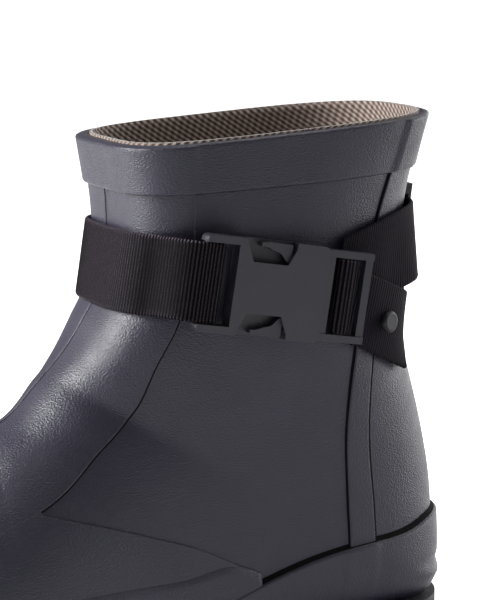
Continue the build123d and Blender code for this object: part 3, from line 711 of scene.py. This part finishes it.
def round_bar(bar_u, bar_w, turns, width):
    """Edge lines of webbing that turns round a bar, through the named corners."""
    clear = .06 + WEBBING_T / 2
    u0, u1 = bar_u[0] - clear, bar_u[1] + clear
    w0, w1 = bar_w[0] - clear, bar_w[1] + clear
    mid_u, mid_w, cut = (u0 + u1) / 2, (w0 + w1) / 2, .55
    places = {"front": (mid_u, w1), "back": (mid_u, w0), "head": (u0, mid_w), "rear": (u1, mid_w),
              "front_head": (u0 + cut, w1 - cut), "front_rear": (u1 - cut, w1 - cut),
              "back_head": (u0 + cut, w0 + cut), "back_rear": (u1 - cut, w0 + cut)}
    return [[at_buckle(places[t][0], sign * width / 2, places[t][1]) for t in turns] for sign in (1, -1)]


def make_ankle_strap():
    """From the housing's bar round the front, the inner side and the back, under the keeper."""
    turns = ("back", "back_rear", "rear", "front_rear", "front")
    start = round_bar(HOUSING_BAR_U, HOUSING_BAR_W, turns, WEBBING_W)
    lead = [[at_buckle(-25.5, sign * WEBBING_W / 2, -1.9)] for sign in (1, -1)]
    angles = np.radians(np.concatenate([np.arange(38, 136, 4), np.arange(136, 282, 6)]))
    top = at_height(angles, INNER_TOP, WEBBING_LIFT)
    bottom = at_height(angles, INNER_BOTTOM, WEBBING_LIFT)
    first = int(np.argmax(top[:, 0] > 114))
    lines = [np.array(start[k] + lead[k] + list(side[first:])) for k, side in enumerate((top, bottom))]
    piece = ribbon("ankle_strap_webbing", lines[0], lines[1], .2, "webbing")
    return finish_piece(piece, "boot", "webbing", "ankle_strap", "housing_webbing")


def make_plug_roll():
    """The webbing wound once round the plug's bar."""
    turns = ("back", "back_head", "head", "front_head", "front", "front_rear", "rear", "back_rear")
    lines = round_bar(PLUG_BAR_U, PLUG_BAR_W, turns, 26.4)
    piece = ribbon("plug_webbing_roll", np.array(lines[0]), np.array(lines[1]), .1, "webbing")
    return finish_piece(piece, "buckle_plug", "webbing", "plug_webbing")


def make_rear_strap():
    """From under the keeper to behind the plug."""
    angles = np.radians(np.arange(-86, -8, 3.0))
    top = at_height(angles, REAR_TOP, WEBBING_LIFT)
    beside_keeper = ease(angles, radians(-79), radians(-66)) * ease(-angles, radians(40), radians(60))
    bottom = at_height(angles, REAR_BOTTOM, WEBBING_LIFT + STANDS_OFF * beside_keeper)
    keep = (top[:, 0] < 58) & (bottom[:, 0] < 58)
    piece = ribbon("rear_strap_webbing", top[keep], bottom[keep], .035, "webbing_fine")
    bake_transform(piece)
    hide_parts("strap_rear")
    return piece


def on_side(x, z, offset):
    """The outer side's point seen at (x, z), at an offset of the skin."""
    station, angle = locate(x, z)
    return skin(station, angle, offset)


def make_anchor_tab():
    """The webbing's end, over the rear strap and riveted to the boot."""
    top = [(53, 150.5, 3.2), (44, 147.6, 3.6), (37.5, 145.1, 4.2), (29, 141.3, 4.1), (20, 136.9, 4.4),
           (10.2, 131.9, 6)]
    bottom = [(56, 125, 2), (48, 121.8, 2), (41, 119, 2), (33, 115.2, 2), (25.5, 111.5, 2.1),
              (19, 108.4, 2.8)]
    lines = [np.array([on_side(*p) for p in line]) for line in (top, bottom)]
    for k, overhang in enumerate(TAB_OVERHANG):
        way = lines[k][-1] - lines[k][-2]
        lines[k] = np.concatenate([lines[k], [lines[k][-1] + way / np.linalg.norm(way) * overhang]])
    piece = ribbon("anchor_tab_webbing", lines[0], lines[1], .03, "webbing_fine", fray=.25)
    return finish_piece(piece, "boot", "webbing", "anchor_tab")


# ---------------------------------------------------------------- materials
class Nodes:
    """Short ways to build a procedural material."""

    def __init__(self, name, colour, roughness, specular=0.5, sheen=0.0, metallic=0.0):
        self.material = bpy.data.materials.new(name)
        self.material.use_nodes = True
        self.tree = self.material.node_tree
        self.shader = self.tree.nodes["Principled BSDF"]
        self.set(self.shader, **{"Base Color": (*colour, 1), "Roughness": roughness, "Metallic": metallic,
                                 "Specular IOR Level": specular, "Sheen Weight": sheen})
        self.place = self.tree.nodes.new("ShaderNodeTexCoord")
        MATERIALS[name] = self.material

    def set(self, node, **values):
        for socket, value in values.items():
            node.inputs[socket].default_value = value

    def link(self, source, node, socket):
        self.tree.links.new(source, node.inputs[socket])

    def noise(self, scale, detail=3.0, stretch=(1, 1, 1), roughness=.55, space="Object"):
        mapping = self.tree.nodes.new("ShaderNodeMapping")
        mapping.inputs["Scale"].default_value = stretch
        self.link(self.place.outputs[space], mapping, "Vector")
        node = self.tree.nodes.new("ShaderNodeTexNoise")
        self.set(node, **{"Scale": scale, "Detail": detail, "Roughness": roughness})
        self.link(mapping.outputs["Vector"], node, "Vector")
        return node.outputs["Fac"]

    def cells(self, scale, stretch):
        mapping = self.tree.nodes.new("ShaderNodeMapping")
        mapping.inputs["Scale"].default_value = stretch
        self.link(self.place.outputs["Object"], mapping, "Vector")
        node = self.tree.nodes.new("ShaderNodeTexVoronoi")
        self.set(node, **{"Scale": scale, "Randomness": 1.0})
        self.link(mapping.outputs["Vector"], node, "Vector")
        return node.outputs["Distance"]

    def wave(self, scale, turn=0.0, distortion=0.0):
        """Stripes across the piece's own length, turned by an angle; scale is in stripes per cm."""
        mapping = self.tree.nodes.new("ShaderNodeMapping")
        mapping.inputs["Rotation"].default_value = (0, 0, turn)
        self.link(self.place.outputs["UV"], mapping, "Vector")
        node = self.tree.nodes.new("ShaderNodeTexWave")
        self.set(node, **{"Scale": scale * pi / 10, "Distortion": distortion, "Detail": 1.0})
        self.link(mapping.outputs["Vector"], node, "Vector")
        return node.outputs["Fac"]

    def side(self):
        """Distance in cm from the piece's first edge."""
        node = self.tree.nodes.new("ShaderNodeSeparateXYZ")
        self.link(self.place.outputs["UV"], node, "Vector")
        return node.outputs["Y"]

    def maths(self, operation, first, second=0.5):
        node = self.tree.nodes.new("ShaderNodeMath")
        node.operation = operation
        for k, value in enumerate((first, second)):
            if isinstance(value, (int, float)):
                node.inputs[k].default_value = value
            else:
                self.tree.links.new(value, node.inputs[k])
        return node.outputs[0]

    def ramp(self, source, stops):
        node = self.tree.nodes.new("ShaderNodeValToRGB")
        elements = node.color_ramp.elements
        while len(elements) < len(stops):
            elements.new(0.5)
        for element, (place, colour) in zip(elements, stops):
            element.position = place
            element.color = (*colour, 1) if isinstance(colour, tuple) else (colour, colour, colour, 1)
        self.link(source, node, "Fac")
        return node.outputs["Color"]

    def colour(self, source, stops):
        self.link(self.ramp(source, stops), self.shader, "Base Color")

    def roughness(self, source, low, high):
        self.link(self.ramp(source, [(.3, low), (.7, high)]), self.shader, "Roughness")

    def bump(self, *layers):
        """Bumps one over another: (height, depth in mm, strength)."""
        normal = None
        for height, depth, strength in layers:
            node = self.tree.nodes.new("ShaderNodeBump")
            self.set(node, **{"Distance": depth * MM, "Strength": strength})
            self.link(height, node, "Height")
            if normal is not None:
                self.link(normal, node, "Normal")
            normal = node.outputs["Normal"]
        self.link(normal, self.shader, "Normal")


def rubber(name, dark, light, rough, grain, specular=0.42):
    """Matte dyed rubber with a fine leather-like grain."""
    m = Nodes(name, light, rough[0], specular=specular)
    patches = m.noise(38, 3)
    m.colour(patches, [(.3, dark), (.7, light)])
    m.roughness(m.noise(160, 4), *rough)
    creases = m.cells(1250, (1, 1, 1.6))
    fine = m.noise(1500, 3, (1, 1, 1.6))
    m.bump((creases, .17, grain), (fine, .19, grain), (m.noise(110, 3), .3, .3 * grain))


def webbing(name, dark, light, rough, glint, specular):
    """Black nylon rib weave: ribs across the length, painted shade in the rib valleys, painted yarn glints
    and a selvage speckled with painted glints.
    """
    m = Nodes(name, light, rough, specular=specular)
    rib = m.wave(10 / RIB_PITCH)
    yarn = m.noise(16, 2, (4.5, 9, 1), space="UV")
    speck = m.noise(9, 1.0, (6, 6, 1), space="UV")
    # painted glints: bright specks where the yarn and speck noises are both high
    sparkle = m.ramp(m.maths("MULTIPLY", yarn, speck), [(.32, 0.0), (.44, 1.0)])
    # painted shade: the colour darkens in the valleys between the ribs
    painted_rib_shade = m.ramp(rib, [(.25, .05), (.8, 1.0)])
    shade = m.maths("ADD", m.maths("MULTIPLY", yarn, .7), m.maths("MULTIPLY", sparkle, glint))
    shade = m.maths("MULTIPLY", shade, painted_rib_shade)
    # painted glints along the selvage, brightest on the rib crests
    selvage = m.ramp(m.side(), [(.0, 1.0), (.06, 1.0), (.09, 0.0)])
    selvage_glints = m.maths("MULTIPLY", selvage, m.ramp(yarn, [(.5, 0.0), (.6, glint)]))
    shade = m.maths("ADD", shade, m.maths("MULTIPLY", selvage_glints, rib))
    # from dark through the yarn's colour up to the bright colour of the painted glints
    m.colour(shade, [(.05, dark), (.4, light), (.95, tuple(min(1, c * 6 + .03) for c in light))])
    m.bump((rib, .45, 1.0), (yarn, .25, .6))


def knit():
    """Brown-grey diagonal knit of the lining, paler at its cut rim."""
    m = Nodes("knit", (.1, .08, .07), .85, specular=.2, sheen=.3)
    diagonal = m.wave(4.6, radians(38), .6)
    cross = m.wave(4.6, radians(-40), .6)
    loops = m.maths("ADD", m.maths("MULTIPLY", diagonal, .66), m.maths("MULTIPLY", cross, .34))
    fuzz = m.noise(60, 3, space="UV")
    shade = m.maths("ADD", m.maths("MULTIPLY", loops, .8), m.maths("MULTIPLY", fuzz, .2))
    m.colour(shade, [(.2, (.045, .032, .027)), (.5, (.16, .115, .095)), (.85, (.36, .29, .25))])
    m.bump((loops, .5, .8), (fuzz, .2, .5))


def knit_rim():
    """The lining's cut rim, pale and fuzzy."""
    m = Nodes("knit_rim", (.4, .34, .3), .95, specular=.1, sheen=.4)
    fuzz = m.noise(700, 4)
    m.colour(fuzz, [(.35, (.035, .028, .025)), (.65, (.15, .125, .11))])
    m.bump((fuzz, .5, .8))


def plastic(name, base, rough):
    """Moulded acetal with a faint spark-eroded texture."""
    m = Nodes(name, base, rough, specular=.5)
    tone = m.noise(90, 2)
    m.colour(tone, [(.3, tuple(.88 * c for c in base)), (.7, base)])
    m.roughness(m.noise(400, 3), rough - .06, rough + .08)
    m.bump((m.noise(2600, 2), .03, .35))


def metal(name, base, rough):
    m = Nodes(name, base, rough, metallic=.85)
    m.roughness(m.noise(500, 3), rough - .1, rough + .1)
    m.bump((m.noise(900, 3), .03, .3))


def fibre(name, dark, light, scale):
    """Pressed board or open foam."""
    m = Nodes(name, light, .9, specular=.2)
    grain = m.noise(scale, 4)
    m.colour(grain, [(.3, dark), (.7, light)])
    m.bump((grain, .3, .6))


def make_materials():
    rubber("rubber", (.0152, .014, .0262), (.0188, .0172, .0325), (.34, .46), .8)
    # the dark edge rubber: near black and dull, for dark cement along the pieces' edges and painted shade
    # over their rounded edges and at the foot of their steps
    rubber("rubber_edge_cement_and_shade", (.0025, .0025, .003), (.006, .006, .007), (.75, .9), .3, specular=.06)
    rubber("sole_rubber", (.016, .015, .024), (.02, .019, .029), (.55, .7), .6)
    rubber("keeper_rubber", (.012, .009, .010), (.02, .015, .016), (.35, .5), .4)
    webbing("webbing", (.001, .0008, .001), (.024, .0185, .0255), .4, .9, .03)
    webbing("webbing_fine", (.0055, .0042, .007), (.011, .0085, .0145), .8, .1, .08)
    knit()
    knit_rim()
    plastic("buckle_plastic", (.021, .02, .029), .42)
    metal("rivet_metal", (.028, .027, .032), .5)
    metal("shank_steel", (.45, .45, .46), .35)
    fibre("board", (.25, .17, .1), (.36, .26, .16), 900)
    fibre("footbed_foam", (.035, .034, .04), (.06, .058, .066), 700)


# ---------------------------------------------------------------- CAD pieces that are shown as they are
CAD_LOOKS = {
    "bottom_wrap": ("rubber", 0), "outsole": ("sole_rubber", .8), "heel_lift": ("sole_rubber", .5),
    "heel_lugs": ("sole_rubber", .6), "forepart_lugs": ("sole_rubber", .6),
    "insole_board": ("board", 0), "shank": ("shank_steel", 0), "footbed": ("footbed_foam", .8),
    "keeper_loop": ("keeper_rubber", .5), "rivet": ("rivet_metal", 0), "rivet_washer": ("rivet_metal", .2),
    "buckle_housing": ("buckle_plastic", .35), "buckle_plug": ("buckle_plastic", .35),
    "latch_arm_upper": ("buckle_plastic", .3), "latch_arm_lower": ("buckle_plastic", .3),
}


def dress_cad_nodes():
    """Materials for the CAD nodes that stay in view, and small rounded edges where they need them."""
    for node, (material, bevel) in CAD_LOOKS.items():
        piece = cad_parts[node]
        piece.data.materials.clear()
        piece.data.materials.append(MATERIALS[material])
        if not bevel:
            continue
        weld = piece.modifiers.new("weld", "WELD")
        weld.merge_threshold = .00001
        round_edges = piece.modifiers.new("round_edges", "BEVEL")
        round_edges.width = bevel * MM
        round_edges.segments = 3
        round_edges.limit_method = "ANGLE"
        round_edges.angle_limit = radians(35)
        round_edges.harden_normals = False


# ---------------------------------------------------------------- floor, light and camera
def make_floor():
    """White paper that glows for the camera alone, so that it lights the boot no more than paper does."""
    bpy.ops.mesh.primitive_plane_add(size=60)
    floor = bpy.context.object
    floor.name = "floor"
    material = bpy.data.materials.new("floor_paper")
    material.use_nodes = True
    shader = material.node_tree.nodes["Principled BSDF"]
    shader.inputs["Base Color"].default_value = (.93, .93, .93, 1)
    shader.inputs["Roughness"].default_value = .9
    shader.inputs["Emission Color"].default_value = (1, 1, 1, 1)
    seen = material.node_tree.nodes.new("ShaderNodeLightPath")
    glow = material.node_tree.nodes.new("ShaderNodeMath")
    glow.operation = "MULTIPLY"
    glow.inputs[1].default_value = .85
    material.node_tree.links.new(seen.outputs["Is Camera Ray"], glow.inputs[0])
    material.node_tree.links.new(glow.outputs[0], shader.inputs["Emission Strength"])
    floor.data.materials.append(material)


def softbox(name, way, distance, size, power):
    """An area light that looks at the boot from a direction."""
    data = bpy.data.lights.new(name, "AREA")
    data.shape = "RECTANGLE"
    data.size, data.size_y = size
    data.energy = power
    light = bpy.data.objects.new(name, data)
    aim = Vector((-.03, 0, .11))
    light.location = aim + Vector(way).normalized() * distance
    light.rotation_euler = (aim - light.location).to_track_quat("-Z", "Y").to_euler()
    light.visible_camera = False
    bpy.context.scene.collection.objects.link(light)


def make_light():
    """A key from the toe's side, two lights behind the heel, one overhead and a dim, even room."""
    softbox("key", (.83, -.33, .42), 1.2, (.5, .7), 35)
    softbox("rim", (-.95, -.5, .15), 1.3, (1.0, 1.2), 7)
    softbox("rear", (-1, .1, .05), 1.4, (1.0, 1.2), 16)
    softbox("top", (-.3, -.1, 1), 1.4, (.7, .7), 8)
    world = bpy.data.worlds.new("studio")
    bpy.context.scene.world = world
    world.use_nodes = True
    tree = world.node_tree
    seen = tree.nodes["Background"]
    seen.inputs["Color"].default_value = (1, 1, 1, 1)
    seen.inputs["Strength"].default_value = 1.0
    felt = tree.nodes.new("ShaderNodeBackground")
    felt.inputs["Color"].default_value = (1, 1, 1, 1)
    felt.inputs["Strength"].default_value = .3
    rays_seen = tree.nodes.new("ShaderNodeLightPath")
    mix = tree.nodes.new("ShaderNodeMixShader")
    tree.links.new(rays_seen.outputs["Is Camera Ray"], mix.inputs["Fac"])
    tree.links.new(felt.outputs[0], mix.inputs[1])
    tree.links.new(seen.outputs[0], mix.inputs[2])
    tree.links.new(mix.outputs[0], tree.nodes["World Output"].inputs["Surface"])


# the camera, in metres, looks at the outer side of the collar from in front of it and above
CAMERA_AT = Vector((.3068, .8150, .2786))
LOOK_WAY = Vector((-.4065, -.8993, -.1615))
FOCAL = 149.0


def make_camera():
    data = bpy.data.cameras.new("camera")
    data.lens = FOCAL
    data.sensor_width = 36
    camera = bpy.data.objects.new("camera", data)
    camera.location = CAMERA_AT
    camera.rotation_euler = LOOK_WAY.to_track_quat("-Z", "Y").to_euler()
    bpy.context.scene.collection.objects.link(camera)
    bpy.context.scene.camera = camera


bpy.context.scene.view_settings.view_transform = "Standard"
make_camera()
make_materials()
make_upper()
make_lining()
make_collar_band()
make_front_overlay()
make_centre_strip()
make_back_rib("lateral")
make_back_rib("medial")
make_vamp_overlay()
make_heel_counter()
make_toe_rand()
make_ankle_strap()
make_plug_roll()
make_rear_strap()
make_anchor_tab()
dress_cad_nodes()
make_floor()
make_light()
